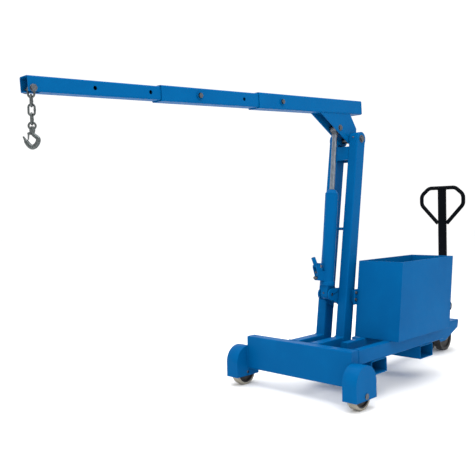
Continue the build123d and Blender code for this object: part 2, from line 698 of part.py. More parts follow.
def hook_latch():
    """Sprung tongue that closes the throat against the inside of the point."""
    tip_y, tip_z = TIP_Y - 2 - HOOK_R + 8.0, HOOK_Z + 4
    tongue = side_plate([
        (LATCH_Y - 3, LATCH_Z), (LATCH_Y + 2.5, LATCH_Z), (tip_y + 3, tip_z), (tip_y, tip_z)], -5, 5)
    roll = rod_x(3.5, -5, 5, LATCH_Y, LATCH_Z)
    return yawed(tongue + roll - rod_x(LATCH_PIN_R + RUN, -6, 6, LATCH_Y, LATCH_Z))


# ---- steering and tiller ------------------------------------------------------------------------


def steering_stem():
    """Stem through the head tube, on a block that the wheels' axle passes through."""
    hub = block(-HUB_HALF, HUB_HALF, REAR_AXLE_Y - 30, REAR_AXLE_Y + 30, 62, 168)
    hub = fillet(hub.edges().filter_by(Axis.X), 8.0)
    stem = rod_z(STEM_R, 160, BRACKET_HIGH, 0, REAR_AXLE_Y)
    shoulder = rod_z(STEM_R + 6, 160, RAIL_LOW + PLATE - GAP, 0, REAR_AXLE_Y)
    return hub + stem + shoulder - rod_x(AXLE_R, -60, 60, REAR_AXLE_Y, REAR_WHEEL_R)


def rear_axle():
    end = REAR_WHEEL_X + REAR_WHEEL_WIDTH / 2 + 1
    axle = rod_x(AXLE_R, -end, end, REAR_AXLE_Y, REAR_WHEEL_R)
    for side in (-1, 1):
        a, b = sorted((side * end, side * (end + 5)))
        axle += rod_x(14.0, a, b, REAR_AXLE_Y, REAR_WHEEL_R)
    return axle


def tiller_bracket():
    """Clamp on top of the stem with two cheeks for the tiller's foot."""
    clamp = rod_z(CLAMP_R, BRACKET_LOW, BRACKET_HIGH, 0, REAR_AXLE_Y)
    neck = block(-30, 30, REAR_AXLE_Y, TILLER_Y - 42, BRACKET_LOW, BRACKET_HIGH - 6)
    wide = TILLER_CHEEK[1]
    back = block(-wide, wide, TILLER_Y - 52, TILLER_Y - 42, BRACKET_LOW - 22, BRACKET_HIGH)
    cheek = rod_x(32.0, *TILLER_CHEEK, TILLER_Y, TILLER_PIVOT_Z) + block(
        *TILLER_CHEEK, TILLER_Y - 46, TILLER_Y, TILLER_PIVOT_Z - 31, TILLER_PIVOT_Z + 28)
    left, right = both_sides(cheek)
    bracket = clamp + neck + back + left + right
    bracket -= rod_z(STEM_R, 0, 500, 0, REAR_AXLE_Y)
    return bracket - rod_x(TILLER_BOLT_R + RUN, -60, 60, TILLER_Y, TILLER_PIVOT_Z)


def tiller_bolt():
    end = TILLER_CHEEK[1] + 1
    bolt = rod_x(TILLER_BOLT_R, -end, end, TILLER_Y, TILLER_PIVOT_Z)
    for side in (-1, 1):
        a, b = sorted((side * end, side * (end + 7)))
        bolt += hex_x(22.0, a, b, TILLER_Y, TILLER_PIVOT_Z)
    return bolt


def stem_bar(low, inset):
    """Rounded flat bar up to the hand loop, shrunk by an inset to make its hollow."""
    x, y = STEM_HALF_X - inset, STEM_HALF_Y - inset
    bar = block(-x, x, TILLER_Y - y, TILLER_Y + y, low, LOOP_TOP - LOOP_R - 1 - inset)
    return fillet(bar.edges().filter_by(Axis.Z), 12.0 - inset)


def tiller_stem():
    """Flat-sided tube from the foot to the hand loop's top bar."""
    foot = rod_x(24.0, -37, 37, TILLER_Y, TILLER_PIVOT_Z)
    post = stem_bar(TILLER_PIVOT_Z, 0) - stem_bar(TILLER_PIVOT_Z + 40, STEM_WALL)
    return foot + post - rod_x(TILLER_BOLT_R + RUN, -60, 60, TILLER_Y, TILLER_PIVOT_Z)


def tiller_loop():
    """Heart-shaped hand loop of round bar, its legs running into the stem."""
    wide = LOOP_HALF - LOOP_R
    points = [(STEM_HALF_X + LOOP_R * 0.4, LOOP_LOW), (wide, 1040.0), (wide, 1110.0), (wide - 60, LOOP_TOP)]
    right = [(x, TILLER_Y, z) for x, z in points]
    left = [(-x, TILLER_Y, z) for x, z in reversed(points)]
    path = FilletPolyline(*right, *left, radius=52.0)
    start = Plane(origin=path @ 0, z_dir=path % 0)
    loop = sweep(start * Circle(LOOP_R), path=path) - stem_bar(TILLER_PIVOT_Z, 0)
    return group(max(loop.solids(), key=lambda solid: solid.volume))


# ---- assembly -----------------------------------------------------------------------------------
def build_frame():
    parts["front_beam"] = group(front_beam(), *both_sides(beam_end_cap()))
    parts["wheel_housings"] = group(*both_sides(wheel_housing()))
    parts["front_axles"] = group(*both_sides(front_axle()))
    parts["central_rails"] = group(*both_sides(central_rail()))
    parts["outer_rail"] = outer_rail()
    parts["box_support"] = group(box_rail(), box_rail_cap(), rail_tie())
    parts["fork_pockets"] = group(*[fork_pocket(start) for start in POCKET_STARTS])
    parts["spine"] = group(
        spine(POCKET_STARTS[0] + POCKET_WIDTH, POCKET_STARTS[1]),
        spine(POCKET_STARTS[1] + POCKET_WIDTH, SPINE_END))
    add_pair("mast_upright", upright())
    parts["mast_plates"] = group(
        mast_foot_plate(), *mast_cross_plates(), mast_cross_bar(), ram_back_plate())
    parts["ram_cheeks"] = group(*both_sides(ram_cheek()))
    parts["steering_frame"] = group(head_plate(), *both_sides(wheel_guard()))
    parts["head_tube"] = head_tube()
    parts["frame_bushes"] = group(pivot_bushes(), head_bearings())


def build_ballast():
    parts["ballast_box"] = ballast_box()
    parts["box_stay"] = box_stay()
    parts["ballast_slabs"] = group(*[ballast_slab(i) for i in range(SLABS)])


def build_boom():
    parts["boom_outer"] = group(boom_outer(), boom_end_cap())
    parts["boom_bracket"] = group(*both_sides(boom_bracket()))
    parts["pivot_spacers"] = group(bracket_sleeve(), pivot_washers())
    parts["pivot_pin"] = pivot_pin()
    parts["ram_head_studs"] = ram_head_studs()
    parts["boom_middle"] = boom_middle()
    parts["boom_inner"] = boom_inner()
    parts["lock_screw_rear"] = lock_screw(0)
    parts["lock_screw_front"] = lock_screw(1)
    parts["tip_pin"] = tip_pin()


def build_ram():
    parts["ram_base"] = ram_base()
    parts["ram_barrel"] = ram_barrel()
    parts["ram_gland"] = ram_gland()
    parts["ram_piston"] = ram_piston()
    parts["ram_rod"] = ram_rod()
    parts["rod_eye"] = rod_eye()
    parts["ram_foot_pin"] = ram_foot_pin()
    parts["pump_block"] = pump_block()
    parts["pump_plunger"] = pump_plunger()
    parts["lever_socket"] = lever_socket()
    parts["release_valve"] = release_valve()


def build_chain():
    for index in range(4):
        parts[f"chain_link_{index + 1}"] = chain_link(index)
    parts["hook_eye"] = hook_eye()
    parts["hook"] = hook()
    parts["hook_latch"] = hook_latch()


def build_wheels():
    for side, name in ((1, "left"), (-1, "right")):
        front = (side * FRONT_TRACK / 2, FRONT_AXLE_Y, FRONT_WHEEL_R)
        rear = (side * REAR_WHEEL_X, REAR_AXLE_Y, REAR_WHEEL_R)
        core = wheel_core(FRONT_WHEEL_R - FRONT_TREAD, FRONT_WHEEL_WIDTH, *front, AXLE_R)
        parts[f"front_wheel_core_{name}"] = group(core, wheel_bearings(FRONT_WHEEL_WIDTH, *front, AXLE_R))
        parts[f"front_wheel_tread_{name}"] = wheel_tread(FRONT_WHEEL_R, FRONT_TREAD, FRONT_WHEEL_WIDTH, *front)
        core = wheel_core(REAR_WHEEL_R - REAR_TREAD, REAR_WHEEL_WIDTH, *rear, AXLE_R)
        parts[f"rear_wheel_core_{name}"] = group(core, wheel_bearings(REAR_WHEEL_WIDTH, *rear, AXLE_R))
        parts[f"rear_wheel_tread_{name}"] = wheel_tread(REAR_WHEEL_R, REAR_TREAD, REAR_WHEEL_WIDTH, *rear)


def build_steering():
    parts["steering_stem"] = steering_stem()
    parts["rear_axle"] = rear_axle()
    parts["tiller_bracket"] = tiller_bracket()
    parts["tiller_bolt"] = tiller_bolt()
    parts["tiller_stem"] = tiller_stem()
    parts["tiller_loop"] = tiller_loop()


build_frame()
build_ballast()
build_boom()
build_ram()
build_chain()
build_wheels()
build_steering()

boxes = [piece.bounding_box() for piece in parts.values()]
CENTRE_X = (min(b.min.X for b in boxes) + max(b.max.X for b in boxes)) / 2
CENTRE_Y = (min(b.min.Y for b in boxes) + max(b.max.Y for b in boxes)) / 2

os.makedirs("parts", exist_ok=True)
for name, piece in parts.items():
    export_step(Pos(-CENTRE_X, -CENTRE_Y, 0) * piece, f"parts/{name}.step")
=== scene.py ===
"""Looks of the engine hoist crane: paint, steel, treads, welds, fasteners, chain, floor, light and camera."""
import json
import math

import bpy
from mathutils import Matrix, Vector, noise


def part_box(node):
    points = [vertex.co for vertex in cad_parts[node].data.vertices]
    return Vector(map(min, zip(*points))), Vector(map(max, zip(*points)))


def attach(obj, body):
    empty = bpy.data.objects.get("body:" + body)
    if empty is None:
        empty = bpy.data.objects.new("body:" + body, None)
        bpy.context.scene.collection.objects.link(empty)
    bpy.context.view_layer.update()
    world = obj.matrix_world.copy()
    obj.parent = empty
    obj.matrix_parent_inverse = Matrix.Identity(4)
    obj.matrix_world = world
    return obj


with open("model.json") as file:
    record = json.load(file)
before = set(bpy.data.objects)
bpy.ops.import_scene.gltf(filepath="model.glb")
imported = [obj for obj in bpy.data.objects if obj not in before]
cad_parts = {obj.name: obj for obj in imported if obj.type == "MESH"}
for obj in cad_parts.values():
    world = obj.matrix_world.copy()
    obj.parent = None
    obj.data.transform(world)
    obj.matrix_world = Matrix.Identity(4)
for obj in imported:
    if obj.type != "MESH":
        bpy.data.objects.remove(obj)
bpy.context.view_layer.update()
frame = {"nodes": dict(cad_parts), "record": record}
NODES = frame["nodes"]

# Layout of the crane in millimetres, with Y = 0 just ahead of the front beam, as in the CAD.
BEAM_HALF, BEAM_LOW = 366, 98
BEAM_FRONT, BEAM_BACK = 30, 95
HOUSING_Y, HOUSING_Z, HOUSING_R = 32, 140, 91       # axis and radius of the wheel housings
DECK, RAIL_LOW = 288, 208                           # top and underside of the rails
PLATE_TOP = 218                                     # top of the plates that lie under the rails
UPRIGHT = (40, 100)                                 # inner and outer X of an upright
OUTER_RAIL, BOX_RAIL = (326, 366), (170, 210)
RAIL_END = 1025
POCKETS = ((212, 362), (725, 875))                  # front and rear Y of the fork pockets
SPINE_HALF, SPINE_LOW, SPINE_END = 50, 132, 1470
REAR_AXLE_Y, REAR_AXLE_Z = 1620, 90
TILLER_Y, TILLER_Z = 1735, 302
PIVOT_Y, PIVOT_Z = 552, 1430
RAM_FOOT_Y, RAM_FOOT_Z = 320, 530
RAM_REACH = (110, 962)                              # from the ram's foot pin to its head pin
MAST_LEAN, BOOM_DROOP, BOX_LEAN = 8.6, 3.3, 7.5
RAM_LEAN = math.degrees(math.atan2(*RAM_REACH))
PUMP_TURN, CHAIN_TURN, CHAIN_X = -18, -42, 12

# The boom drawn level about its pivot: the tip is at -Y.
BOOM_RISE = 192.5                                   # axis of the sections above the pivot
BOOM_FLOOR = 152.5                                  # underside of the outer section
TIP_Y, TIP_Z = -2047, 175.5                         # the bolt that carries the chain
LOCK_Y = (-633, -1213)
RAM_HEAD = (-118.23, 68.92)                         # Y and Z of the ram's head studs
Z_AXIS = Vector((0, 0, 1))
RIGHT, LEFT, AHEAD, UP = (1, 0, 0), (-1, 0, 0), (0, -1, 0), (0, 0, 1)


def placed(y, z, turn):
    return Matrix.Translation((0, y, z)) @ Matrix.Rotation(math.radians(turn), 4, "X")


LEVEL = Matrix.Identity(4)
MAST = placed(PIVOT_Y, PIVOT_Z, -MAST_LEAN)
BOOM = placed(PIVOT_Y, PIVOT_Z, BOOM_DROOP)
RAM = placed(RAM_FOOT_Y, RAM_FOOT_Z, -RAM_LEAN)
PUMP = RAM @ Matrix.Rotation(math.radians(PUMP_TURN), 4, "Z")
TIP = BOOM @ Vector((0, TIP_Y, TIP_Z))
CHAIN_PLACE = Matrix.Translation((CHAIN_X, TIP.y, 0)) @ Matrix.Rotation(math.radians(CHAIN_TURN), 4, "Z")
SHIFT_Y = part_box("front_beam")[0].y * 1000 - BEAM_FRONT
TO_ROW = Matrix.Scale(0.001, 4) @ Matrix.Translation((0, SHIFT_Y, 0))


def row(point, place=LEVEL):
    """A millimetre point of a layout drawing, in the row frame."""
    return TO_ROW @ (place @ Vector(point))


# ---- materials ----------------------------------------------------------------------------------
class Shader:
    """One procedural material with short calls for its nodes."""

    def __init__(self, name):
        self.material = bpy.data.materials.new(name)
        self.material.use_nodes = True
        self.tree = self.material.node_tree
        self.body = self.tree.nodes["Principled BSDF"]
        self.where = self.tree.nodes.new("ShaderNodeTexCoord").outputs["Object"]

    def node(self, kind, inputs=(), **settings):
        made = self.tree.nodes.new("ShaderNode" + kind)
        for key, value in settings.items():
            setattr(made, key, value)
        for key, value in dict(inputs).items():
            self.put(made.inputs[key], value)
        return made

    def put(self, socket, value):
        if isinstance(value, bpy.types.NodeSocket):
            self.tree.links.new(value, socket)
        else:
            socket.default_value = value

    def stretched(self, scale):
        return self.node("Mapping", {"Vector": self.where, "Scale": scale}).outputs[0]

    def noise(self, scale, detail=2.0, rough=0.5, vector=None, distortion=0.0):
        made = self.node("TexNoise", {
            "Vector": vector or self.where, "Scale": scale, "Detail": detail, "Roughness": rough,
            "Distortion": distortion})
        return made.outputs["Fac"]

    def ramp(self, value, low, high, out_low=0.0, out_high=1.0):
        made = self.node("MapRange", {
            "Value": value, "From Min": low, "From Max": high, "To Min": out_low, "To Max": out_high})
        return made.outputs["Result"]

    def math(self, operation, a, b=0.5):
        made = self.node("Math", operation=operation)
        self.put(made.inputs[0], a)
        self.put(made.inputs[1], b)
        return made.outputs[0]

    def mix(self, share, a, b):
        made = self.node("Mix", data_type="RGBA")
        self.put(made.inputs[0], share)
        self.put(made.inputs[6], a)
        self.put(made.inputs[7], b)
        return made.outputs[2]

    def bump(self, height, strength, distance, normal=None):
        made = self.node("Bump", {"Height": height, "Strength": strength, "Distance": distance})
        if normal is not None:
            self.put(made.inputs["Normal"], normal)
        return made.outputs["Normal"]

    def edges(self, radius):
        """1 on convex and concave edges, 0 on flats, from the rounded normal."""
        rounded = self.node("Bevel", {"Radius": radius}, samples=6).outputs[0]
        flat = self.node("NewGeometry").outputs["Normal"]
        made = self.node("VectorMath", operation="DOT_PRODUCT")
        self.put(made.inputs[0], rounded)
        self.put(made.inputs[1], flat)
        return self.ramp(made.outputs["Value"], 0.995, 0.90)

    def set(self, **values):
        for key, value in values.items():
            self.put(self.body.inputs[key.replace("_", " ")], value)


def rgb(r, g, b):
    """sRGB 0-255 to a linear colour."""
    def linear(c):
        c /= 255
        return c / 12.92 if c <= 0.04045 else ((c + 0.055) / 1.055) ** 2.4
    return (linear(r), linear(g), linear(b), 1.0)


PAINT_IOR = 1.09     # low, so that the white studio does not wash the paint out


def paint(name, base, dark, light, scuff, rough=0.34, wear=0.5):
    """Sprayed gloss paint: orange peel, slow tone changes, dust, thin scratches, scuffed edges."""
    s = Shader(name)
    tone = s.ramp(s.noise(2.2, 4.0, 0.6), 0.3, 0.7)
    colour = s.mix(tone, dark, base)
    patch = s.ramp(s.noise(9.0, 6.0, 0.65, distortion=0.4), 0.52, 0.75)
    colour = s.mix(s.math("MULTIPLY", patch, 0.35), colour, light)
    dust = s.ramp(s.noise(160.0, 3.0, 0.7), 0.56, 0.8)
    colour = s.mix(s.math("MULTIPLY", dust, 0.12), colour, scuff)
    line = s.ramp(s.noise(26.0, 3.0, 0.6, vector=s.stretched((1.0, 0.05, 0.6))), 0.67, 0.70)
    line = s.math("MULTIPLY", line, s.ramp(s.noise(5.0, 2.0), 0.5, 0.62))
    colour = s.mix(s.math("MULTIPLY", line, 0.18), colour, scuff)
    worn = s.math("MULTIPLY", s.edges(0.0022), s.ramp(s.noise(38.0, 5.0, 0.7), 0.5, 0.66))
    worn = s.math("MULTIPLY", worn, wear)
    colour = s.mix(worn, colour, scuff)
    peel = s.noise(420.0, 2.0, 0.5)
    wave = s.noise(14.0, 2.0, 0.4)
    bumped = s.bump(peel, 0.10, 0.0006)
    bumped = s.bump(wave, 0.06, 0.004, bumped)
    roughness = s.math("ADD", s.ramp(s.noise(30.0, 5.0, 0.6), 0.3, 0.7, rough - 0.06, rough + 0.10),
                       s.math("MULTIPLY", worn, 0.25))
    s.set(Base_Color=colour, Roughness=roughness, Normal=bumped, IOR=PAINT_IOR)
    return s.material


def steel(name, base, dark, rough, grain=(1, 1, 1), metal=1.0, bump=0.06, stain=(0.06, 0.05, 0.045, 1)):
    """Bare or plated steel with machining grain, handling stains, small pits and a painted highlight
    lightening its edges.
    """
    s = Shader(name)
    drawn = s.noise(260.0, 3.0, 0.6, vector=s.stretched(grain))
    colour = s.mix(s.ramp(drawn, 0.35, 0.65), dark, base)
    grime = s.ramp(s.noise(34.0, 6.0, 0.7), 0.55, 0.8)
    colour = s.mix(s.math("MULTIPLY", grime, 0.45), colour, stain)
    # painted highlight: edges and corners are lightened towards pale grey to stand in for glints of light on
    # the steel
    bright = s.edges(0.0012)
    colour = s.mix(s.math("MULTIPLY", bright, 0.3), colour, (0.55, 0.55, 0.56, 1))
    pits = s.noise(700.0, 2.0, 0.6)
    normal = s.bump(pits, bump, 0.0005)
    normal = s.bump(drawn, bump * 0.7, 0.0004, normal)
    roughness = s.math("ADD", s.ramp(drawn, 0.3, 0.7, rough - 0.05, rough + 0.08),
                       s.math("MULTIPLY", grime, 0.18))
    s.set(Base_Color=colour, Roughness=roughness, Normal=normal, Metallic=metal)
    return s.material


def cast(name, base, dark, rough=0.62):
    """Sand-cast iron: coarse grain, dark hollows, some primer dust."""
    s = Shader(name)
    grain = s.noise(240.0, 6.0, 0.75)
    colour = s.mix(s.ramp(grain, 0.35, 0.65), dark, base)
    cloud = s.ramp(s.noise(16.0, 5.0, 0.65), 0.45, 0.75)
    colour = s.mix(s.math("MULTIPLY", cloud, 0.35), colour, rgb(96, 84, 74))
    s.set(Base_Color=colour, Roughness=s.ramp(grain, 0.2, 0.8, rough - 0.1, rough + 0.15),
          Normal=s.bump(grain, 0.35, 0.0012), Metallic=0.35)
    return s.material


def tread(name, base, dark, dirt, rough, sheen):
    """Cast tyre compound: fine moulded grain, rolled-in dirt on the running face, small nicks."""
    s = Shader(name)
    grain = s.noise(520.0, 3.0, 0.6)
    colour = s.mix(s.ramp(s.noise(22.0, 5.0, 0.65), 0.3, 0.7), dark, base)
    rolled = s.ramp(s.noise(70.0, 6.0, 0.75, vector=s.stretched((0.35, 1, 1))), 0.48, 0.72)
    colour = s.mix(s.math("MULTIPLY", rolled, 0.5), colour, dirt)
    nick = s.node("TexVoronoi", {"Vector": s.where, "Scale": 90.0}, feature="F1").outputs["Distance"]
    nicks = s.ramp(nick, 0.0, 0.12, -1.0, 0.0)
    normal = s.bump(grain, 0.22, 0.0006)
    normal = s.bump(nicks, 0.18, 0.0012, normal)
    s.set(Base_Color=colour, Roughness=s.ramp(grain, 0.3, 0.7, rough - 0.08, rough + 0.1), Normal=normal)
    s.body.inputs["Sheen Weight"].default_value = sheen
    return s.material


BLUE = paint("blue_paint", rgb(0, 87, 143), rgb(0, 80, 135), rgb(0, 93, 150), rgb(10, 112, 172))
BLACK = paint("black_paint", rgb(9, 12, 17), rgb(5, 7, 10), rgb(15, 18, 24), rgb(40, 44, 50), 0.36, 0.5)
CHROME = steel("bright_rod", (0.25, 0.28, 0.32, 1), (0.13, 0.15, 0.18, 1), 0.10, (1, 1, 0.12), bump=0.02)
PIN = steel("pin_steel", (0.14, 0.15, 0.17, 1), (0.06, 0.07, 0.08, 1), 0.38, (1, 1, 1))
CHAIN = steel("chain_steel", (0.15, 0.165, 0.165, 1), (0.05, 0.06, 0.06, 1), 0.24, (1, 1, 0.5), bump=0.10)
BRONZE = steel("bush_bronze", (0.66, 0.46, 0.20, 1), (0.48, 0.32, 0.13, 1), 0.30, (0.2, 1, 1))
BALLAST = cast("ballast_iron", rgb(74, 76, 80), rgb(40, 42, 46), 0.7)
IRON = cast("wheel_iron", rgb(38, 40, 42), rgb(22, 23, 25), 0.6)
PALE = tread("pale_tread", rgb(158, 152, 138), rgb(134, 128, 114), rgb(92, 86, 76), 0.55, 0.05)
DARK = tread("black_tread", rgb(15, 14, 16), rgb(9, 9, 10), rgb(34, 31, 28), 0.62, 0.08)
RUBBER = tread("seal_rubber", rgb(20, 20, 20), rgb(12, 12, 12), rgb(44, 40, 36), 0.5, 0.2)
MATERIALS = {
    "blue_paint": BLUE, "black_paint": BLACK, "bright_rod": CHROME, "pin_steel": PIN, "chain_steel": CHAIN,
    "bush_bronze": BRONZE, "ballast_iron": BALLAST, "wheel_iron": IRON, "pale_tread": PALE,
    "black_tread": DARK}

FLAT_EDGE, BOLT_EDGE = 0.0014, 0.0009      # metres rounded off plates and off bolts
BEVELS = {}
for node in ("front_beam", "ballast_box", "box_stay", "boom_bracket", "ram_cheeks", "steering_frame",
             "mast_plates", "wheel_housings", "tiller_bracket", "pump_block", "ballast_slabs", "box_support",
             "ram_gland", "lever_socket", "rod_eye", "ram_base", "head_tube"):
    BEVELS[node] = FLAT_EDGE
for node in ("pivot_pin", "ram_head_studs", "tip_pin", "tiller_bolt", "lock_screw_front", "lock_screw_rear",
             "front_axles", "rear_axle", "release_valve"):
    BEVELS[node] = BOLT_EDGE
for node, width in BEVELS.items():
    merge = NODES[node].modifiers.new("merge", "WELD")
    merge.merge_threshold = 1e-5
    edge = NODES[node].modifiers.new("edge", "BEVEL")
    edge.width, edge.segments = width, 2
    edge.limit_method, edge.angle_limit = "ANGLE", math.radians(40)
    edge.harden_normals = True

slot_of = {part["node"]: part["material_slot"] for part in frame["record"]["subparts"]}
for name, node in NODES.items():
    node.data.materials.clear()
    node.data.materials.append(MATERIALS[slot_of[name]])


# ---- making pieces ------------------------------------------------------------------------------
def piece(name, mesh, body, slot, material=None, smooth=True):
    made = bpy.data.objects.new(name, mesh)
    bpy.context.scene.collection.objects.link(made)
    mesh.materials.append(material or MATERIALS[slot])
    if smooth:
        mesh.shade_smooth()
    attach(made, body)
    return made


def mesh_of(name, verts, faces):
    mesh = bpy.data.meshes.new(name)
    mesh.from_pydata([tuple(v) for v in verts], [], faces)
    mesh.update()
    return mesh


def frames_along(points, closed):
    """Tangent and two square directions at each point of a path, carried along without twist."""
    count = len(points)
    tangents = []
    for i in range(count):
        before = points[i - 1] if closed or i else points[i]
        after = points[(i + 1) % count] if closed or i < count - 1 else points[i]
        tangents.append((after - before).normalized())
    side = tangents[0].orthogonal().normalized()
    frames = []
    for tangent in tangents:
        side = (side - tangent * side.dot(tangent)).normalized()
        frames.append((tangent, side, tangent.cross(side)))
    return frames


def tube(points, radii, closed=False, around=12, squeeze=None):
    """Vertices and faces of a tube along a path with a radius for each point."""
    verts, faces = [], []
    for i, (_, side, other) in enumerate(frames_along(points, closed)):
        for k in range(around):
            a = 2 * math.pi * k / around
            offset = side * math.cos(a) * radii[i] + other * math.sin(a) * radii[i]
            if squeeze:
                offset = squeeze(i, offset)
            verts.append(points[i] + offset)
    rings = len(points)
    for i in range(rings if closed else rings - 1):
        j = (i + 1) % rings
        for k in range(around):
            m = (k + 1) % around
            faces.append((i * around + k, i * around + m, j * around + m, j * around + k))
    if not closed:
        faces.append(tuple(range(around - 1, -1, -1)))
        faces.append(tuple((rings - 1) * around + k for k in range(around)))
    return verts, faces


def even_points(corners, step, closed=False):
    """Points along straight runs between corners, about one step apart."""
    runs = list(zip(corners, corners[1:] + corners[:1])) if closed else list(zip(corners, corners[1:]))
    points = []
    for a, b in runs:
        count = max(1, round((b - a).length / step))
        points += [a.lerp(b, i / count) for i in range(count)]
    return points if closed else points + [corners[-1]]


WELD_STEP = 1.6     # mm between a bead's rings
RIPPLE = 4.5        # mm between its ripples


def bead(runs, place=LEVEL, size=3.0):
    """Weld beads: rippled, slightly uneven ropes of metal along the given runs of corner points."""
    verts, faces = [], []
    for corners, closed in runs:
        points = even_points([Vector(c) for c in corners], WELD_STEP, closed)
        radii = []
        for i, p in enumerate(points):
            swell = 0.5 + 0.5 * math.cos(2 * math.pi * i * WELD_STEP / RIPPLE)
            rough = noise.noise(p * 0.09)
            fade = 1.0 if closed else min(1.0, 0.45 + 0.12 * min(i, len(points) - 1 - i))
            radii.append(size * fade * (0.86 + 0.14 * swell + 0.10 * rough))
        more, quads = tube(points, radii, closed, 10)
        base = len(verts)
        verts += [row(v, place) for v in more]
        faces += [tuple(base + k for k in f) for f in quads]
    return verts, faces


def weld(name, runs, body, place=LEVEL, size=3.0, slot="blue_paint"):
    return piece(name, mesh_of(name, *bead(runs, place, size)), body, slot)


def both(*runs):
    """The same runs on both sides of the crane."""
    out = list(runs)
    for corners, closed in runs:
        out.append(([(-x, y, z) for x, y, z in corners], closed))
    return out


def lathe(profile, around=32):
    """Vertices and faces of a turned part: (radius, height) pairs about +Z, closed where the radius is 0."""
    verts, faces, rings = [], [], []
    for radius, height in profile:
        if radius < 1e-6:
            rings.append([len(verts)])
            verts.append(Vector((0, 0, height)))
            continue
        rings.append(list(range(len(verts), len(verts) + around)))
        for k in range(around):
            a = 2 * math.pi * k / around
            verts.append(Vector((radius * math.cos(a), radius * math.sin(a), height)))
    for low, high in zip(rings, rings[1:]):
        for k in range(around):
            m = (k + 1) % around
            if len(low) == 1 and len(high) > 1:
                faces.append((low[0], high[m], high[k]))
            elif len(high) == 1 and len(low) > 1:
                faces.append((low[k], low[m], high[0]))
            elif len(low) > 1:
                faces.append((low[k], low[m], high[m], high[k]))
    return verts, faces


def toward(point, direction):
    """Matrix that puts a part drawn about +Z at a point, facing a direction."""
    return Matrix.Translation(point) @ Vector(direction).to_track_quat("Z", "Y").to_matrix().to_4x4()


def many(name, shape, places, body, slot, layout=LEVEL, material=None, smooth=True):
    """One piece made of copies of a shape in millimetres, at (point, direction) places."""
    verts, faces = [], []
    for point, direction in places:
        at = toward(Vector(point), direction)
        base = len(verts)
        verts += [row(at @ v, layout) for v in shape[0]]
        faces += [tuple(base + k for k in f) for f in shape[1]]
    return piece(name, mesh_of(name, verts, faces), body, slot, material, smooth)


def hexagon(across, height, chamfer=1.2, hole=0.0):
    """Bolt head or nut about +Z with a turned chamfer."""
    around, verts, faces, rings = 48, [], [], []
    flat = across / 2
    for level, z in enumerate((0.0, height - chamfer, height)):
        ring = []
        for k in range(around):
            a = 2 * math.pi * k / around
            reach = flat / math.cos((a % (math.pi / 3)) - math.pi / 6)
            if level == 2:
                reach = min(reach, flat * 1.01)
            ring.append(len(verts))
            verts.append(Vector((reach * math.cos(a), reach * math.sin(a), z)))
        rings.append(ring)
    inner = max(hole, flat * 0.35)
    ring = []
    for k in range(around):
        a = 2 * math.pi * k / around
        ring.append(len(verts))
        verts.append(Vector((inner * math.cos(a), inner * math.sin(a), height + (0.0 if hole else 0.3))))
    rings.append(ring)
    for low, high in zip(rings, rings[1:]):
        for k in range(around):
            m = (k + 1) % around
            faces.append((low[k], low[m], high[m], high[k]))
    faces.append(tuple(rings[-1]))
    faces.append(tuple(reversed(rings[0])))
    return verts, faces


# ---- welds --------------------------------------------------------------------------------------
def ring(radius, z, x=0.0, y=0.0, count=40):
    """Corner points of a level circle, for a bead round a tube."""
    turns = [2 * math.pi * k / count for k in range(count)]
    return [(x + radius * math.cos(a), y + radius * math.sin(a), z) for a in turns], True


def seam(*corners):
    return list(corners), False


def upright_run(*corners):
    """A run round the far side of an upright and its mirror's, at (which face, Y, Z) corners."""
    return seam(*[(UPRIGHT[face], y, z) for face, y, z in corners])


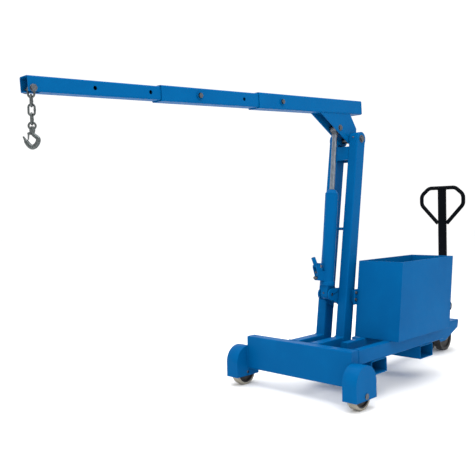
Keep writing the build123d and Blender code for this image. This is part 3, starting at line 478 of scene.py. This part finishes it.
def weld_frame():
    """Beads along the beam, the mast's foot, the pockets, the rails and the steering head."""
    hood = [(BEAM_HALF, HOUSING_Y + HOUSING_R * math.sin(math.radians(a)),
             HOUSING_Z + HOUSING_R * math.cos(math.radians(a))) for a in range(0, 44, 4)]
    weld("weld_beam", both(
        upright_run((0, BEAM_BACK, PLATE_TOP), (0, BEAM_BACK, DECK), (1, BEAM_BACK, DECK),
                    (1, BEAM_BACK, PLATE_TOP)),
        seam((BEAM_HALF, BEAM_FRONT, 229), (BEAM_HALF, BEAM_FRONT, BEAM_LOW),
             (BEAM_HALF, BEAM_BACK, BEAM_LOW), (BEAM_HALF, BEAM_BACK, 205)),
        (hood, False)) + [
        seam((OUTER_RAIL[0], BEAM_BACK, RAIL_LOW), (OUTER_RAIL[0], BEAM_BACK, DECK),
             (OUTER_RAIL[1], BEAM_BACK, DECK), (OUTER_RAIL[1], BEAM_BACK, RAIL_LOW))], "frame", size=2.6)
    weld("weld_mast_foot", both(
        upright_run((0, 328, PLATE_TOP), (0, 410, PLATE_TOP), (1, 410, PLATE_TOP), (1, 328, PLATE_TOP)),
        upright_run((0, 328, PLATE_TOP), (0, 338, DECK), (1, 338, DECK), (1, 328, PLATE_TOP)),
        seam((120, 262, RAIL_LOW), (120, 362, RAIL_LOW)),
        seam((SPINE_HALF, 362, RAIL_LOW), (SPINE_HALF, 440, RAIL_LOW))) + [
        seam((-110, 262, RAIL_LOW), (120, 262, RAIL_LOW)),
        seam((-SPINE_HALF, 440, RAIL_LOW), (SPINE_HALF, 440, RAIL_LOW))], "frame", size=2.8)
    pocket_runs = []
    for front, back in POCKETS:
        for x in (OUTER_RAIL[0], *BOX_RAIL):
            pocket_runs.append(seam((x, front, RAIL_LOW), (x, back, RAIL_LOW)))
    for y in (POCKETS[0][1], *POCKETS[1]):
        pocket_runs.append(seam((SPINE_HALF, y, 206), (SPINE_HALF, y, 130), (-SPINE_HALF, y, 130),
                                (-SPINE_HALF, y, 206)))
    weld("weld_pockets", pocket_runs, "frame", size=2.4)
    ends = [seam((x, RAIL_END, RAIL_LOW), (x, RAIL_END, 282)) for x in (OUTER_RAIL[0], *BOX_RAIL)]
    ends.append(seam((-SPINE_HALF, RAIL_END, RAIL_LOW), (SPINE_HALF, RAIL_END, RAIL_LOW)))
    weld("weld_rail_ends", ends, "frame", size=2.2)
    head_runs = [ring(41.5, PLATE_TOP, 0, REAR_AXLE_Y)]
    head_runs += [seam((x, 1430, PLATE_TOP), (x, 1579, PLATE_TOP)) for x in (6, -6)]
    head_runs += both(
        seam((SPINE_HALF, 1400, RAIL_LOW), (SPINE_HALF, SPINE_END, RAIL_LOW)),
        seam((SPINE_HALF, SPINE_END, SPINE_LOW), (SPINE_HALF, SPINE_END, 206)))
    weld("weld_steering_head", head_runs, "frame", size=2.4)


def weld_ballast_box():
    """Beads up the box's corners and stitches along the rails it stands on."""
    rise = 432
    spill = rise * math.tan(math.radians(BOX_LEAN))
    feet = [(x, y) for x in (138.6, 419.4) for y in (395.6, 984.4)]
    corners = [seam((x, y, DECK), (x, y + spill, DECK + rise)) for x, y in feet]
    weld("weld_box", corners, "frame", size=1.5)
    stitches = []
    for x in (*OUTER_RAIL, *BOX_RAIL):
        for start in range(410, 960, 110):
            stitches.append(seam((x, start, DECK), (x, start + 36, DECK)))
    weld("weld_box_seat", stitches, "frame", size=2.0)


def cut_corner_loop(half, low, high, cut_x, cut_low, cut_high, point):
    """A closed run round a rectangle with cut corners; point(x, v) places its two coordinates."""
    x = half - cut_x
    return [point(*p) for p in (
        (-x, low), (x, low), (half, low + cut_low), (half, high - cut_high), (x, high), (-x, high),
        (-half, high - cut_high), (-half, low + cut_low))], True


weld_frame()
weld_ballast_box()
weld("weld_ram_cheeks", both(seam((30, 296, 536), (30, 300, 560))), "frame", size=0.8)
weld("weld_bracket", both(
    seam((36, -292, BOOM_FLOOR), (36, -12, BOOM_FLOOR)),
    seam((28, -292, BOOM_FLOOR), (28, -12, BOOM_FLOOR))), "boom", BOOM, 2.6)
weld("weld_boom_cap", [cut_corner_loop(40, BOOM_FLOOR, 230.4, 6, 6, 3.9, lambda x, z: (x, 103, z))],
     "boom", BOOM, 1.9)
weld("weld_ram_base", [ring(38.6, 72.6)], "ram", RAM, 2.6)
weld("weld_tiller_top", [cut_corner_loop(28, 1720, 1750, 4, 6, 6, lambda x, y: (x, y, 1147))],
     "tiller", size=2.2, slot="black_paint")

# ---- fasteners ----------------------------------------------------------------------------------
def washer(inner, outer, thick):
    """Turned washer with broken edges, lying on its seat."""
    e = 0.4
    return lathe([(inner, 0.0), (outer - e, 0.0), (outer, e), (outer, thick - e), (outer - e, thick),
                  (inner + e, thick), (inner, thick - e), (inner, 0.0)], 40)


def thread(radius, length, pitch=1.5):
    """Bolt end with thread ridges and a chamfered point."""
    profile = [(radius - 0.9, 0.0)]
    z = 0.0
    while z < length - 2 * pitch:
        profile += [(radius, z + pitch * 0.45), (radius - 0.9, z + pitch * 0.95)]
        z += pitch
    profile += [(radius - 0.4, z + pitch * 0.4), (radius - 2.0, length), (0.0, length)]
    return lathe(profile, 32)


def sides(x, y, z):
    return [((x, y, z), RIGHT), ((-x, y, z), LEFT)]


many("washers_pivot", washer(12.6, 22.0, 3.0), sides(100.1, 0, 0), "boom", "pin_steel", BOOM)
many("thread_pivot", thread(11.0, 9.0, 2.0), [((-109.5, 0, 0), LEFT)], "boom", "pin_steel", BOOM)
many("washers_ram_head", washer(10.2, 17.5, 2.6), sides(36, *RAM_HEAD), "boom", "pin_steel", BOOM)
COLLAR = washer(13.0, 18.0, 5.5)
many("collars_lock_rear", COLLAR, [((40, LOCK_Y[0], BOOM_RISE), RIGHT)], "boom", "blue_paint", BOOM)
many("collars_lock_front", COLLAR, [((35, LOCK_Y[1], BOOM_RISE), RIGHT)], "boom_middle", "blue_paint", BOOM)
many("washers_tip", washer(6.1, 14.5, 2.2), sides(30, TIP_Y, TIP_Z), "boom_inner", "pin_steel", BOOM)
many("thread_tip", thread(5.6, 6.0), [((-38.8, TIP_Y, TIP_Z), LEFT)], "boom_inner", "pin_steel", BOOM)
many("washers_tiller", washer(8.1, 17.0, 2.4), sides(52, TILLER_Y, TILLER_Z), "steering", "pin_steel")
many("thread_tiller", thread(7.6, 7.0), [((-59.8, TILLER_Y, TILLER_Z), LEFT)], "steering", "pin_steel")
many("nuts_rear_axle", hexagon(19.0, 6.0), sides(80, REAR_AXLE_Y, REAR_AXLE_Z), "steering", "pin_steel")
STAY_BOLTS = ((409, 499), (414, 538))      # Y and Z of the bolts through the stay, on the box's inner face
many("washers_stay", washer(5.0, 10.5, 1.8), [((138, y, z), RIGHT) for y, z in STAY_BOLTS], "frame",
     "pin_steel")
many("bolts_stay", hexagon(14.0, 5.5, 1.0), [((139.6, y, z), RIGHT) for y, z in STAY_BOLTS], "frame",
     "pin_steel")

NIPPLE = lathe([(4.2, 0.0), (4.2, 2.2), (3.2, 2.8), (2.2, 3.4), (2.2, 6.4), (3.0, 7.2), (3.0, 8.4),
                (1.6, 10.0), (0.0, 10.2)], 20)
many("nipples_mast", NIPPLE, [((70, -40.3, 4), AHEAD), ((-70, -40.3, 4), AHEAD)], "frame", "pin_steel", MAST)
many("nipple_head_tube", NIPPLE, [((40.8, REAR_AXLE_Y, 256), RIGHT)], "frame", "pin_steel")
many("nipple_ram", NIPPLE, [((0, -27.8, 6), AHEAD)], "ram", "pin_steel", RAM)

CAP_SCREW = lathe([(0.0, 0.0), (5.4, 0.0), (5.4, 4.2), (4.8, 4.8), (2.8, 4.8), (2.8, 1.8), (0.0, 1.8)], 24)
many("screws_pump", CAP_SCREW, [((9, -76, 122), AHEAD), ((-9, -76, 122), AHEAD)], "ram", "pin_steel", PUMP)
many("plug_pump", hexagon(12.0, 5.0, 1.0), [((-22, -58, 90), LEFT)], "ram", "pin_steel", PUMP)
SEAL = lathe([(14.6, 0.0), (18.5, 0.0), (18.9, 1.0), (17.6, 3.0), (14.8, 3.6), (14.4, 2.0), (14.6, 0.0)], 48)
many("wiper_seal", SEAL, [((0, 0, 605.9), UP)], "ram", "blue_paint", RAM, material=RUBBER)

# ---- chain and hook -----------------------------------------------------------------------------
LINK_TOP = TIP.z + 13.6             # top of the first link
LINK_STEP, LINK_HALF, LINK_DROP = 33.7, 11.5, 25     # pitch, half width on the wire's middle, half length
NUB = lathe([(3.9, -5.0), (4.5, -2.6), (4.95, 0.0), (4.5, 2.6), (3.9, 5.0)], 24)
for index in range(4):
    z = LINK_TOP - LINK_DROP - index * LINK_STEP
    at = (0, LINK_HALF, z) if index % 2 == 0 else (-LINK_HALF, 0, z)
    many(f"link_weld_{index + 1}", NUB, [(at, UP)], f"chain_{index + 1}", "chain_steel", CHAIN_PLACE)


def latch_spring():
    """Coil of five turns on the tongue's pin."""
    eye_z = LINK_TOP - 4 * LINK_STEP - 17
    middle = Vector((0, -13.5, eye_z - 29))
    steps, per_turn, half_length, radius, wire = 120, 24, 4.4, 4.2, 0.65
    coil = []
    for k in range(steps + 1):
        turn = 2 * math.pi * k / per_turn
        coil.append(middle + Vector((-half_length + 2 * half_length * k / steps, radius * math.cos(turn),
                                     radius * math.sin(turn))))
    verts, faces = tube(coil, [wire] * len(coil), around=8)
    piece("latch_spring", mesh_of("latch_spring", [row(v, CHAIN_PLACE) for v in verts], faces), "hook_latch",
          "chain_steel")


latch_spring()


# ---- floor, light and camera --------------------------------------------------------------------
def backdrop():
    """Plain white floor, bright enough to run into the white sky."""
    size = 30.0
    mesh = mesh_of("floor", [(-size, -size, 0), (size, -size, 0), (size, size, 0), (-size, size, 0)],
                   [(0, 1, 2, 3)])
    floor = bpy.data.objects.new("floor", mesh)
    bpy.context.scene.collection.objects.link(floor)
    s = Shader("floor_pale")
    fine = s.noise(3.0, 4.0, 0.6)
    s.set(Base_Color=s.mix(fine, (0.93, 0.93, 0.93, 1), (0.96, 0.96, 0.96, 1)), Roughness=0.9)
    s.body.inputs["Specular IOR Level"].default_value = 0.1
    mesh.materials.append(s.material)


def area_light(name, location, target, size, power, colour=(1, 1, 1)):
    data = bpy.data.lights.new(name, "AREA")
    data.shape, data.size, data.size_y = "RECTANGLE", size[0], size[1]
    data.energy, data.color = power, colour
    made = bpy.data.objects.new(name, data)
    bpy.context.scene.collection.objects.link(made)
    made.location = location
    made.rotation_mode = "QUATERNION"
    made.rotation_quaternion = (Vector(location) - Vector(target)).to_track_quat("Z", "Y")


CAMERA_AT = Vector((2.2724, -2.7258 + SHIFT_Y / 1000, 1.0))
AZIMUTH, PITCH, ROLL = math.radians(44.415), math.radians(1.994), math.radians(-1.286)
FOCAL_PIXELS, IMAGE_PIXELS, SENSOR = 653.642, 475.0, 36.0


def camera():
    level = math.cos(PITCH)
    back = Vector((math.sin(AZIMUTH) * level, -math.cos(AZIMUTH) * level, math.sin(PITCH)))
    ahead = -back
    right = ahead.cross(Z_AXIS).normalized()
    down = ahead.cross(right)
    c, s = math.cos(ROLL), math.sin(ROLL)
    right, down = right * c - down * s, right * s + down * c
    data = bpy.data.cameras.new("camera")
    data.sensor_width = SENSOR
    data.lens = FOCAL_PIXELS * SENSOR / IMAGE_PIXELS
    made = bpy.data.objects.new("camera", data)
    bpy.context.scene.collection.objects.link(made)
    turn = Matrix((right, -down, back)).transposed().to_4x4()
    made.matrix_world = Matrix.Translation(CAMERA_AT) @ turn
    bpy.context.scene.camera = made


def daylight():
    world = bpy.data.worlds.new("studio")
    bpy.context.scene.world = world
    world.use_nodes = True
    world.node_tree.nodes["Background"].inputs["Color"].default_value = (1, 1, 1, 1)
    world.node_tree.nodes["Background"].inputs["Strength"].default_value = 1.07


camera()
backdrop()
daylight()
area_light("overhead", (0.4, -0.4, 4.5), (0, 0, 0.5), (5.0, 6.0), 230)
area_light("side", (4.6, 0.6, 2.8), (0, 0.2, 0.9), (2.0, 2.5), 12)
bpy.context.scene.view_settings.view_transform = "Standard"
